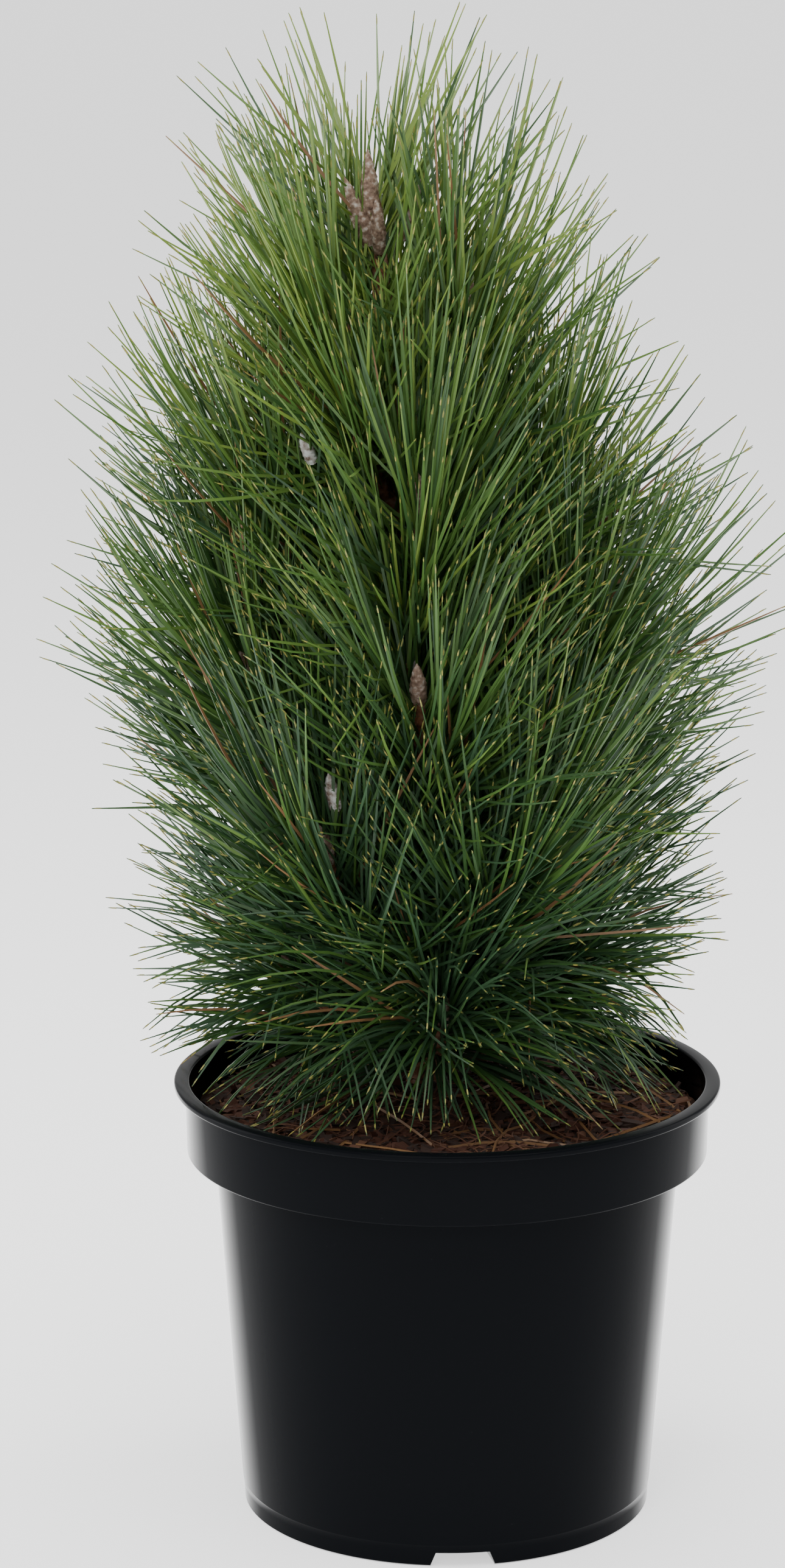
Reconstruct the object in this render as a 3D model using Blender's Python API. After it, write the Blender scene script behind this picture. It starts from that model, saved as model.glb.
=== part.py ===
"""A young long-needled pine in a five litre nursery pot.

The pot stands on z = 0 with its axis on the origin, and -Y is the side it is seen from.
Lengths are in metres, angles in radians, and azimuths are counted from +X towards +Y.
The trunk, each bough and each mass of needles is an object of its own.
"""

import math
from collections import namedtuple
from random import Random

import bmesh
import bpy
import numpy as np

# Clearances
GAP = 0.0003
LINK_GAP = 0.0007

# Pot
RIM_RADIUS = 0.115
RIM_HEIGHT = 0.185
LIP_TALL = 0.0028
LIP_ROUND = 0.0009
COLLAR_RADIUS = 0.1104
COLLAR_TALL = 0.031
COLLAR_TAPER = 0.0008
SHOULDER_RADIUS = 0.098
SHOULDER_DROP = 0.002
FOOT_RADIUS = 0.0867
FOOT_BAND_TALL = 0.009
FOOT_BAND_STEP = 0.0004
WALL = 0.002
FLOOR_THICK = 0.009
POT_SIDES = 40

# Notches round the foot, and the first one's azimuth
NOTCHES = 3
NOTCH_FIRST = math.radians(-86)
NOTCH_WIDE = 0.027
NOTCH_NARROW = 0.0225
NOTCH_TALL = 0.006
NOTCH_DEEP = 0.030

# Soil: bark chips heaped towards the trunk, with one hollow
SOIL_EDGE_HEIGHT = 0.169
SOIL_HEAP = 0.0085
SOIL_LUMP = 0.0012
SOIL_RINGS = 6
SOIL_SEAT_RADIUS = 0.024
HOLLOW_PLACE = (0.046, -0.040)
HOLLOW_RADIUS = 0.020
HOLLOW_DEEP = 0.009

# Trunk
TRUNK_FOOT = (-0.009, 0.016)
TRUNK_LEAN = (-0.024, -0.016)
TRUNK_LEAN_POWER = 1.8
TRUNK_CUT_RADIUS = 0.0085
TRUNK_FOOT_RADIUS = 0.0062
TRUNK_TIP_RADIUS = 0.0034
FLARE_TALL = 0.009
TRUNK_TIP_HEIGHT = 0.478
TRUNK_RINGS = 10
TRUNK_SIDES = 8

# Boughs
BOUGH_RADIUS = 0.0032
BOUGH_END_RADIUS = 0.0025
BOUGH_SHARE = 0.30
BOUGH_RINGS = 3
BOUGH_SIDES = 5
ARM_OUTWARD = 0.72
ARM_RISE = 0.30
TIER_SPIRAL = 0.009

# Stems and twigs inside the masses
STEM_RADIUS = 0.0021
STEM_SIDES = 4
STEM_RINGS = 5
BUD_RADIUS = 0.0034
BUD_LONG = 0.017
TWIG_RADIUS = 0.0013
TWIG_SHARE = 0.5
TWIG_SPREAD = math.radians(38)
TWIG_BEND = 2.0
TWIGS = 1

# Cores of the sprays, whose faces the needles stand on
CORE_RADIUS = 0.0031
CORE_SIDES = 5
CORE_STEP = 0.0050
CORE_END = 0.55
TWIG_CORE_RADIUS = 0.0024
TWIG_CORE_SIDES = 4

# Needles
NEEDLE_LONG = 0.100
NEEDLE_LONG_VARY = 0.14
NEEDLE_RADIUS = 0.0013
NEEDLE_SAMPLES = 16
# Shares of a needle's length and lean, tried in turn until it fits its space
NEEDLE_TRIES = ((1.0, 1.0), (1.0, 0.8), (1.0, 0.6), (1.0, 0.4), (0.75, 1.0), (0.75, 0.6))
NEEDLE_BEND = 0.16
NEEDLE_APART = 0.0004
SPREAD_LOW = math.radians(76)
SPREAD_TIP = math.radians(20)
SPREAD_VARY = math.radians(6)
BEND_VARY = 0.8
BENT_FROM = 0.5
BENT_MIDDLE = 0.6
TURN = math.radians(137.5)
SEED = 31

# Crown outline: half width of the crown at heights above the floor
CROWN_HEIGHTS = (0.178, 0.215, 0.290, 0.350, 0.405, 0.450, 0.520, 0.575, 0.605, 0.633)
CROWN_RADII = (0.112, 0.124, 0.137, 0.152, 0.166, 0.158, 0.128, 0.106, 0.094, 0.060)
SPACE_REACH = 0.085

# Terminal buds on the leader: azimuth, distance from the tip's line, height, length, radius
LEADER_TIP_HEIGHT = 0.573
Bud = namedtuple("Bud", "azimuth away height long radius")
LEADER_BUDS = (
    Bud(math.radians(195), 0.011, 0.562, 0.028, 0.0030),
    Bud(math.radians(5), 0.020, 0.561, 0.026, 0.0034),
    Bud(math.radians(280), 0.008, 0.554, 0.020, 0.0026),
)

# Whorls of boughs, from the soil upwards. bend is + where needles sweep up and - where they droop.
Tier = namedtuple("Tier", "name boughs first_azimuth height tip_radius tip_height bend long spread density")
TIERS = (
    Tier("low", 4, math.radians(-82), 0.193, 0.055, 0.228, -0.6, 0.92, 1.15, 0.5),
    Tier("lower", 5, math.radians(236), 0.218, 0.070, 0.300, 0.2, 1.0, 1.05, 0.5),
    Tier("middle", 5, math.radians(200), 0.280, 0.072, 0.366, 0.3, 1.0, 1.0, 0.5),
    Tier("upper", 4, math.radians(188), 0.350, 0.056, 0.440, 0.3, 1.0, 1.0, 0.5),
    Tier("high", 3, math.radians(230), 0.425, 0.036, 0.508, 0.3, 1.0, 1.0, 0.5),
)
SIDE_WORDS = ("right", "back_right", "back", "back_left", "left", "front_left", "front", "front_right")

UP = np.array((0.0, 0.0, 1.0))


# Scene and materials


def clear_scene():
    for old in list(bpy.data.objects):
        bpy.data.objects.remove(old, do_unlink=True)


def material(name, colour, roughness):
    made = bpy.data.materials.new(name)
    made.use_nodes = True
    shader = made.node_tree.nodes["Principled BSDF"]
    shader.inputs["Base Color"].default_value = (*colour, 1.0)
    shader.inputs["Roughness"].default_value = roughness
    shader.inputs["Metallic"].default_value = 0.0
    return made


def object_of(name, bm, finish, collection=None):
    """A mesh object from a bmesh, shaded smooth where its faces turn gently."""
    bmesh.ops.recalc_face_normals(bm, faces=bm.faces)
    mesh = bpy.data.meshes.new(name)
    bm.to_mesh(mesh)
    bm.free()
    mesh.shade_smooth()
    mesh.set_sharp_from_angle(angle=math.radians(40))
    made = bpy.data.objects.new(name, mesh)
    made.data.materials.append(finish)
    (collection or bpy.context.scene.collection).objects.link(made)
    return made


# Shapes


def turned(bm, profile, sides):
    """A profile of (radius, height) pairs, from axis to axis, spun round Z into a closed body."""
    points = [bm.verts.new((radius, 0.0, height)) for radius, height in profile]
    edges = [bm.edges.new(pair) for pair in zip(points, points[1:])]
    bmesh.ops.spin(bm, geom=points + edges, cent=(0, 0, 0), axis=(0, 0, 1),
                   angle=math.tau, steps=sides, use_merge=True)
    bmesh.ops.remove_doubles(bm, verts=bm.verts, dist=1e-6)


def unit(vector):
    return vector / np.linalg.norm(vector)


def tube(bm, points, radii, sides, first_normal=None):
    """A closed tapering limb along points. A radius of 0 at the last point makes a sharp tip."""
    along = np.gradient(points, axis=0)
    if first_normal is not None:
        along[0] = first_normal
    side = unit(np.cross(unit(along[0]), UP + 0.137))
    rings = []
    for point, way, radius in zip(points, along, radii):
        way = unit(way)
        side = unit(side - way * np.dot(side, way))
        other = np.cross(way, side)
        if radius == 0:
            rings.append([bm.verts.new(point)])
            continue
        ring = []
        for k in range(sides):
            angle = math.tau * k / sides
            ring.append(bm.verts.new(point + radius * (math.cos(angle) * side + math.sin(angle) * other)))
        rings.append(ring)
    bm.faces.new(rings[0])
    for lower, upper in zip(rings, rings[1:]):
        for k in range(sides):
            after = (k + 1) % sides
            if len(upper) == 1:
                bm.faces.new((lower[k], lower[after], upper[0]))
            else:
                bm.faces.new((lower[k], lower[after], upper[after], upper[k]))
    if len(rings[-1]) > 1:
        bm.faces.new(rings[-1])


# Places


def azimuth_way(azimuth):
    return np.array((math.cos(azimuth), math.sin(azimuth), 0.0))


def soil_height(x, y):
    """Height of the soil: a heap towards the trunk, less one hollow."""
    from_axis = math.hypot(x, y) / (COLLAR_RADIUS - WALL)
    from_hollow = math.hypot(x - HOLLOW_PLACE[0], y - HOLLOW_PLACE[1]) / HOLLOW_RADIUS
    heap = SOIL_HEAP * max(0.0, 1.0 - from_axis**2)
    return SOIL_EDGE_HEIGHT + heap - HOLLOW_DEEP * math.exp(-(from_hollow**2))


TRUNK_CUT_HEIGHT = soil_height(*TRUNK_FOOT) + GAP


def trunk_axis(height):
    """The trunk's middle at a height: upright at the foot and leaning more towards the tip."""
    share = max(0.0, (height - TRUNK_CUT_HEIGHT) / (LEADER_TIP_HEIGHT - TRUNK_CUT_HEIGHT))
    lean = share**TRUNK_LEAN_POWER
    return np.array((TRUNK_FOOT[0] + TRUNK_LEAN[0] * lean, TRUNK_FOOT[1] + TRUNK_LEAN[1] * lean, height))


def trunk_radius(height):
    """An even taper with a root flare that dies away above the cut."""
    share = (height - TRUNK_CUT_HEIGHT) / (TRUNK_TIP_HEIGHT - TRUNK_CUT_HEIGHT)
    flare = (TRUNK_CUT_RADIUS - TRUNK_FOOT_RADIUS) * math.exp(-(height - TRUNK_CUT_HEIGHT) / FLARE_TALL)
    return TRUNK_FOOT_RADIUS + (TRUNK_TIP_RADIUS - TRUNK_FOOT_RADIUS) * share + flare


def arm_points(tier, turn, shares):
    """Points on a bough and the stem it carries, which leave the trunk low and sweep upwards."""
    azimuth = tier.first_azimuth + math.tau * turn / tier.boughs
    spiral = TIER_SPIRAL * ((2 * turn) % tier.boughs / tier.boughs - 0.5)
    start = trunk_axis(tier.height + spiral)
    tip = trunk_axis(tier.tip_height + spiral) + tier.tip_radius * azimuth_way(azimuth)
    bend = start + ARM_OUTWARD * tier.tip_radius * azimuth_way(azimuth)
    bend = bend + ARM_RISE * (tip[2] - start[2]) * UP
    shares = np.asarray(shares)[:, None]
    return (1 - shares) ** 2 * start + 2 * shares * (1 - shares) * bend + shares**2 * tip


def share_outside_trunk(tier, turn):
    """How far along its arm a bough's foot lies, so that it clears the trunk."""
    shares = np.linspace(0, 0.5, 400)
    points = arm_points(tier, turn, shares)
    clear = trunk_radius(points[0][2]) + LINK_GAP
    away = [np.linalg.norm(point[:2] - trunk_axis(point[2])[:2]) for point in points]
    return float(np.interp(clear, away, shares))


def crown_radius(height):
    return np.interp(height, CROWN_HEIGHTS, CROWN_RADII)


def distance_to_runs(points, starts, runs):
    """The least distance from each point to any of some straight runs."""
    share = ((points[:, None] - starts) * runs).sum(-1) / (runs**2).sum(-1)
    nearest = starts + np.clip(share, 0, 1)[..., None] * runs
    return np.linalg.norm(points[:, None] - nearest, axis=-1).min(axis=1)


def distance_to_line(points, line):
    return distance_to_runs(points, line[:-1], np.diff(line, axis=0))


# Each shoot: the name of its side, its stem, and the needles' habit there
Shoot = namedtuple("Shoot", "name line bend long spread density")


def shoots_of_tier(tier):
    """(bough points, shoot) for each arm of a whorl. The stem starts a gap beyond its bough's tip."""
    made = []
    for turn in range(tier.boughs):
        azimuth = tier.first_azimuth + math.tau * turn / tier.boughs
        side = SIDE_WORDS[round(azimuth % math.tau / (math.tau / 8)) % 8]
        foot = share_outside_trunk(tier, turn)
        bough = arm_points(tier, turn, np.linspace(foot, BOUGH_SHARE, BOUGH_RINGS))
        stem = arm_points(tier, turn, np.linspace(BOUGH_SHARE, 1.0, STEM_RINGS))
        stem[0] = bough[-1] + GAP * unit(stem[1] - stem[0])
        habit = (tier.bend, tier.long, tier.spread, tier.density)
        made.append((bough, Shoot(f"{tier.name}_{side}", stem, *habit)))
    return made


def leader_shoot():
    heights = np.linspace(TRUNK_TIP_HEIGHT + GAP, LEADER_TIP_HEIGHT, STEM_RINGS)
    return Shoot("leader", np.array([trunk_axis(height) for height in heights]), 0.2, 1.0, 0.85, 0.6)


def reaching(line):
    """A stem's line carried on past its tip, which is the middle of the space round it."""
    return np.vstack([line, line[-1] + SPACE_REACH * unit(line[-1] - line[-2])])


class Crown:
    """The limbs and the shoots' spaces, which every twig and needle keeps to."""

    def __init__(self, limbs, shoots):
        self.limbs = limbs
        self.middles = [reaching(shoot.line) for shoot in shoots]

    def in_space(self, points, own, thick):
        """Nearer to its own shoot's middle line than to any other, with room for its thickness."""
        away = np.array([distance_to_line(points, line) for line in self.middles])
        others = np.delete(away, own, axis=0).min(axis=0)
        return bool((others - away[own] > 2 * (thick + GAP)).all())

    def clear_of_limbs(self, points, thick):
        for line, radius in self.limbs:
            if (distance_to_line(points, line) < radius + thick + GAP).any():
                return False
        return True

    def clear_of_pot(self, points, thick):
        for x, y, z in points:
            inside = math.hypot(x, y) < COLLAR_RADIUS - 2 * WALL - thick
            floor = soil_height(x, y) + SOIL_LUMP if inside else RIM_HEIGHT
            if z < floor + thick + 2 * GAP:
                return False
        return True

    def in_outline(self, points):
        middle = np.array([trunk_axis(z)[:2] for z in points[:, 2]])
        away = np.linalg.norm(points[:, :2] - middle, axis=1)
        return bool((away < crown_radius(points[:, 2])).all() and (points[:, 2] < CROWN_HEIGHTS[-1]).all())

    def takes(self, points, own, thick):
        return (self.in_outline(points) and self.in_space(points, own, thick)
                and self.clear_of_limbs(points, thick) and self.clear_of_pot(points, thick))


def bent_line(root, way, long, bend, steps):
    """A line that starts along way and bends up, or down where bend is below zero."""
    shares = np.linspace(0, 1, steps)[:, None]
    end_way = unit(way + bend * NEEDLE_BEND * UP)
    return root + long * (shares * way + shares**2 * (end_way - way))


def side_ways(way):
    """Two unit vectors square to way and to each other."""
    side = unit(np.cross(way, UP + 0.137))
    return side, np.cross(way, side)


def points_along(line, count):
    """Evenly spaced points on a line of points."""
    run = np.concatenate([[0.0], np.cumsum(np.linalg.norm(np.diff(line, axis=0), axis=1))])
    places = np.linspace(0, run[-1], count)
    return np.stack([np.interp(places, run, line[:, axis]) for axis in range(3)], axis=1)


class Spray:
    """A slim core round a twig. Its faces are a net of triangles, and a needle stands out of each
    one that is picked and has room."""

    def __init__(self, random, line, radius, sides, own, shoot, crown, taken):
        self.random, self.sides, self.own, self.shoot = random, sides, own, shoot
        self.crown, self.taken = crown, taken
        run = np.linalg.norm(np.diff(line, axis=0), axis=1).sum()
        self.middle = points_along(line, max(3, round(run / CORE_STEP)))
        self.ways = np.gradient(self.middle, axis=0)
        self.ways /= np.linalg.norm(self.ways, axis=1)[:, None]
        self.rings = [self.ring(k, radius) for k in range(len(self.middle))]

    def ring(self, k, radius):
        """Each ring is turned by half a face from the one below, so that the net is even."""
        side, other = side_ways(self.ways[k])
        angles = math.tau * (np.arange(self.sides) + k / 2) / self.sides
        end = CORE_END if k in (0, len(self.middle) - 1) else 1.0
        around = np.cos(angles)[:, None] * side + np.sin(angles)[:, None] * other
        return self.middle[k] + end * radius * around

    def draw(self, bm):
        rows = [[bm.verts.new(point) for point in ring] for ring in self.rings]
        bm.faces.new(rows[0])
        bm.faces.new(rows[-1])
        for k in range(len(rows) - 1):
            for j in range(self.sides):
                after = (j + 1) % self.sides
                self.cover(bm, (rows[k][j], rows[k][after], rows[k + 1][j]), k)
                self.cover(bm, (rows[k][after], rows[k + 1][after], rows[k + 1][j]), k)

    def cover(self, bm, base, k):
        """A needle on one triangle of the net, or the bare triangle."""
        root = np.mean([vert.co for vert in base], axis=0)
        line = self.needle(root, k)
        if line is None:
            bm.faces.new(base)
            return
        if len(line) > 2:
            upper = [bm.verts.new(line[1] + BENT_MIDDLE * (np.array(vert.co) - root)) for vert in base]
            for one, other in ((0, 1), (1, 2), (2, 0)):
                bm.faces.new((base[one], base[other], upper[other], upper[one]))
            base = upper
        tip = bm.verts.new(line[-1])
        for one, other in ((0, 1), (1, 2), (2, 0)):
            bm.faces.new((base[one], base[other], tip))

    def needle(self, root, k):
        """The line of a needle that springs from root, or None where it is left out."""
        if self.random.random() > self.shoot.density:
            return None
        share = (k + 0.5) / len(self.middle)
        way = self.ways[k]
        out = root - self.middle[k]
        out = unit(out - way * np.dot(out, way))
        widest = SPREAD_LOW + (SPREAD_TIP - SPREAD_LOW) * share
        widest = widest * self.shoot.spread + self.random.uniform(-1, 1) * SPREAD_VARY
        long = NEEDLE_LONG * self.shoot.long * (1 + self.random.uniform(-1, 1) * NEEDLE_LONG_VARY)
        bend = self.shoot.bend + self.random.uniform(-1, 1) * BEND_VARY
        steps = 3 if abs(self.shoot.bend) > BENT_FROM else 2
        for shorter, narrower in NEEDLE_TRIES:
            spread = widest * narrower
            aim = math.cos(spread) * way + math.sin(spread) * out
            line = bent_line(root, aim, long * shorter, bend, steps)
            if self.has_room(line):
                self.taken.extend(zip(line[:-1], line[1:]))
                return line
        return None

    def has_room(self, line):
        points = points_along(line, NEEDLE_SAMPLES)[1:]
        if self.taken:
            starts, ends = np.array(self.taken).swapaxes(0, 1)
            away = distance_to_runs(points, starts, ends - starts)
            thin = 1 - np.arange(1, NEEDLE_SAMPLES) / NEEDLE_SAMPLES
            if (away < NEEDLE_APART + 2 * NEEDLE_RADIUS * thin).any():
                return False
        return self.crown.takes(points, self.own, NEEDLE_RADIUS)


def twig_lines(random, own, shoot, crown):
    """Side twigs from the stem's middle, which fork off by an even turn and are skipped if cramped."""
    made = []
    long = TWIG_SHARE * np.linalg.norm(shoot.line[-1] - shoot.line[0])
    for k in range(TWIGS):
        segment = 1 + k
        root = shoot.line[segment]
        way = unit(shoot.line[segment + 1] - root)
        side, other = side_ways(way)
        turn = random.uniform(0, math.tau) + k * TURN
        out = math.cos(turn) * side + math.sin(turn) * other
        aim = math.cos(TWIG_SPREAD) * way + math.sin(TWIG_SPREAD) * out
        line = bent_line(root, aim, long, TWIG_BEND, 4)
        if crown.takes(line[1:], own, TWIG_RADIUS):
            made.append(line)
    return made


# Nodes


def pot(finish):
    """The pot as one turned wall with its rolled lip, stepped collar and foot band."""
    collar_foot = RIM_HEIGHT - COLLAR_TALL
    inner_foot = FOOT_RADIUS - WALL
    lip_foot = RIM_HEIGHT - LIP_TALL
    profile = (
        (0.0, 0.0),
        (FOOT_RADIUS - FOOT_BAND_STEP, 0.0),
        (FOOT_RADIUS, FOOT_BAND_TALL),
        (FOOT_RADIUS + FOOT_BAND_STEP, FOOT_BAND_TALL + FOOT_BAND_STEP),
        (SHOULDER_RADIUS, collar_foot - SHOULDER_DROP),
        (COLLAR_RADIUS - COLLAR_TAPER, collar_foot),
        (COLLAR_RADIUS, lip_foot),
        (RIM_RADIUS - LIP_ROUND, lip_foot),
        (RIM_RADIUS, lip_foot + LIP_ROUND),
        (RIM_RADIUS, RIM_HEIGHT - LIP_ROUND),
        (RIM_RADIUS - LIP_ROUND, RIM_HEIGHT),
        (COLLAR_RADIUS - WALL, RIM_HEIGHT),
        (COLLAR_RADIUS - COLLAR_TAPER - WALL, collar_foot + WALL),
        (SHOULDER_RADIUS - WALL, collar_foot - SHOULDER_DROP + WALL),
        (inner_foot, FLOOR_THICK),
        (0.0, FLOOR_THICK),
    )
    bm = bmesh.new()
    turned(bm, profile, POT_SIDES)
    made = object_of("pot", bm, finish)
    for k in range(NOTCHES):
        cut = made.modifiers.new(f"notch_{k}", "BOOLEAN")
        cut.operation = "DIFFERENCE"
        cut.object = notch_cutter(k, finish)
    return made


def notch_cutter(k, finish):
    """A wedge that narrows upwards, run in from outside the foot."""
    bm = bmesh.new()
    below = 0.004
    slope = (NOTCH_WIDE - NOTCH_NARROW) / 2 / NOTCH_TALL
    low = NOTCH_WIDE / 2 + slope * below
    high = NOTCH_NARROW / 2
    inner = FOOT_RADIUS - NOTCH_DEEP
    outer = FOOT_RADIUS + 0.01
    ring = [bm.verts.new((inner, y, z)) for y, z in
            ((-low, -below), (low, -below), (high, NOTCH_TALL), (-high, NOTCH_TALL))]
    face = bm.faces.new(ring)
    swept = bmesh.ops.extrude_face_region(bm, geom=[face])
    moved = [item for item in swept["geom"] if isinstance(item, bmesh.types.BMVert)]
    bmesh.ops.translate(bm, verts=moved, vec=(outer - inner, 0, 0))
    made = object_of(f"notch_cutter_{k}", bm, finish)
    made.rotation_euler.z = NOTCH_FIRST + math.tau * k / NOTCHES
    made.hide_render = True
    made.display_type = "WIRE"
    return made


def soil(finish):
    """The potting mix: a plug that fills the pot, a gap inside its wall, with a lumpy heaped top."""
    random = Random(SEED)
    collar_foot = RIM_HEIGHT - COLLAR_TALL
    top_radius = COLLAR_RADIUS - COLLAR_TAPER - WALL - 2 * GAP
    under = (
        (0.0, FLOOR_THICK + GAP),
        (FOOT_RADIUS - WALL - 2 * GAP, FLOOR_THICK + GAP),
        (SHOULDER_RADIUS - WALL - 2 * GAP, collar_foot - SHOULDER_DROP + WALL + GAP),
        (top_radius, collar_foot + WALL + 2 * GAP),
    )
    top = [(top_radius * (1 - k / SOIL_RINGS), 1.0) for k in range(SOIL_RINGS + 1)]
    bm = bmesh.new()
    turned(bm, [*under, *top], POT_SIDES // 2)
    seat = TRUNK_CUT_HEIGHT - GAP
    for vert in bm.verts:
        if vert.co.z > 0.5:
            lump = SOIL_LUMP * random.uniform(-1, 1)
            if vert.co.xy.length > top_radius - GAP:
                lump = 0.0
            vert.co.z = min(soil_height(vert.co.x, vert.co.y) + lump, seat)
            if math.dist(vert.co.xy, TRUNK_FOOT) < SOIL_SEAT_RADIUS:
                vert.co.z = seat
    return object_of("soil", bm, finish)


def trunk(finish):
    """The whole trunk, from its flat cut on the soil to the foot of the leader's needles."""
    shares = np.linspace(0, 1, TRUNK_RINGS) ** 1.5
    heights = TRUNK_CUT_HEIGHT + shares * (TRUNK_TIP_HEIGHT - TRUNK_CUT_HEIGHT)
    points = np.array([trunk_axis(height) for height in heights])
    bm = bmesh.new()
    tube(bm, points, [trunk_radius(height) for height in heights], TRUNK_SIDES, first_normal=UP)
    return object_of("trunk", bm, finish)


def bough(name, points, finish):
    """One tapering limb, cut upright where it faces the trunk."""
    radii = np.linspace(BOUGH_RADIUS, BOUGH_END_RADIUS, len(points))
    outward = points[1] - points[0]
    outward[2] = 0
    bm = bmesh.new()
    tube(bm, points, radii, BOUGH_SIDES, first_normal=outward)
    return object_of(f"bough_{name}", bm, finish)


def bud(bm, tip, way, long, radius):
    """A pointed bud that swells from its foot and ends in a tip."""
    shares = np.array((0.0, 0.3, 0.65, 1.0))
    points = tip - way * long * (1 - shares)[:, None]
    tube(bm, points, radius * np.array((0.6, 1.0, 0.85, 0.0)), STEM_SIDES)


def skin_volume(faces):
    """The volume inside a skin of faces, below zero where they face inwards."""
    total = 0.0
    for face in faces:
        first, *others = [vert.co for vert in face.verts]
        for second, third in zip(others, others[1:]):
            total += first.dot(second.cross(third)) / 6
    return total


def keep_outer_skin(mesh):
    """Fills hollows that the union sealed and drops loose scraps: the largest skin is all that stays."""
    bm = bmesh.new()
    bm.from_mesh(mesh)
    left = set(bm.faces)
    skins = []
    while left:
        edge_of_skin = [left.pop()]
        skin = set(edge_of_skin)
        while edge_of_skin:
            face = edge_of_skin.pop()
            beside = {other for edge in face.edges for other in edge.link_faces} & left
            left -= beside
            skin |= beside
            edge_of_skin.extend(beside)
        skins.append(skin)
    largest = max(skins, key=skin_volume)
    scrap = [face for skin in skins if skin is not largest for face in skin]
    bmesh.ops.delete(bm, geom=scrap, context="FACES")
    bm.to_mesh(mesh)
    bm.free()


def needle_mass(own, shoot, crown, bark, green):
    """One mass: a stem with its bud, side twigs and needles, all joined by one union."""
    random = Random(SEED + own)
    twigs = twig_lines(random, own, shoot, crown)
    taken = []
    bm = bmesh.new()
    tube(bm, shoot.line, np.linspace(STEM_RADIUS, TWIG_RADIUS, len(shoot.line)), STEM_SIDES)
    made = object_of(f"needles_{shoot.name}", bm, green)
    parts = bpy.data.collections.new(f"{shoot.name}_parts")

    def part(draw, *values):
        piece = bmesh.new()
        draw(piece, *values)
        object_of(f"{shoot.name}_part", piece, bark, parts)

    if shoot.name == "leader":
        leader_buds(part)
    part(bud, shoot.line[-1] + BUD_LONG * 0.6 * unit(shoot.line[-1] - shoot.line[-2]),
         unit(shoot.line[-1] - shoot.line[-2]), BUD_LONG, BUD_RADIUS)
    for line in twigs:
        part(tube, line, np.linspace(TWIG_RADIUS, TWIG_RADIUS * 0.7, len(line)), 3)
    stem = points_along(shoot.line, 12)[1:]
    for line in twigs:
        taken.extend(zip(line[1:-1], line[2:]))
    sprays = [Spray(random, stem, CORE_RADIUS, CORE_SIDES, own, shoot, crown, taken)]
    for line in twigs:
        del taken[: len(line) - 2]
        sprays.append(Spray(random, line[1:], TWIG_CORE_RADIUS, TWIG_CORE_SIDES, own, shoot, crown, taken))
    for spray in sprays:
        part(spray.draw)

    join = made.modifiers.new("join", "BOOLEAN")
    join.operation = "UNION"
    join.operand_type = "COLLECTION"
    join.collection = parts
    join.use_self = True
    bpy.context.view_layer.update()
    joined = bpy.data.meshes.new_from_object(made.evaluated_get(bpy.context.evaluated_depsgraph_get()))
    made.modifiers.clear()
    made.data = joined
    keep_outer_skin(joined)
    for old in list(parts.objects):
        bpy.data.objects.remove(old, do_unlink=True)
    bpy.data.collections.remove(parts)
    return made


def leader_buds(part):
    """The cluster of terminal buds, each on a short spur of the leader."""
    for one in LEADER_BUDS:
        foot = trunk_axis(one.height - one.long - one.away)
        tip = trunk_axis(one.height) + one.away * azimuth_way(one.azimuth)
        way = unit(tip - foot)
        spur = np.array([foot, tip - way * one.long * 0.8])
        part(tube, spur, np.array((TWIG_RADIUS, TWIG_RADIUS)), 4)
        part(bud, tip, way, one.long, one.radius)


def main():
    clear_scene()
    plastic = material("black_plastic", (0.008, 0.009, 0.011), 0.28)
    mix = material("bark_chips", (0.10, 0.035, 0.015), 0.95)
    bark = material("bark", (0.16, 0.085, 0.045), 0.9)
    green = material("needles", (0.07, 0.16, 0.04), 0.5)

    pot(plastic)
    soil(mix)
    trunk(bark)
    arms = [arm for tier in TIERS for arm in shoots_of_tier(tier)]
    shoots = [shoot for _, shoot in arms] + [leader_shoot()]
    heights = np.linspace(TRUNK_CUT_HEIGHT, TRUNK_TIP_HEIGHT, 40)
    limbs = [(np.array([trunk_axis(height) for height in heights]), TRUNK_FOOT_RADIUS)]
    for points, shoot in arms:
        bough(shoot.name, points, bark)
        limbs.append((points, BOUGH_RADIUS))
    crown = Crown(limbs, shoots)
    for own, shoot in enumerate(shoots):
        needle_mass(own, shoot, crown, bark, green)


main()
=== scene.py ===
# %% [markdown]
# A young pine with long needles stands in a black nursery pot. The solids of the part have the right
# sizes and places, but their needles are thick and few. This lesson dresses them: it grows needles
# again by much the same rule, thinner and in greater number, and gives pot, mix and bark finer
# surfaces. All lengths are in metres.
#
# The first step loads the solids and measures the box that they fill. Every random choice comes
# from one generator with a fixed seed, so each run gives the same plant.

# %% Load the frame
import math
from collections import namedtuple

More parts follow.
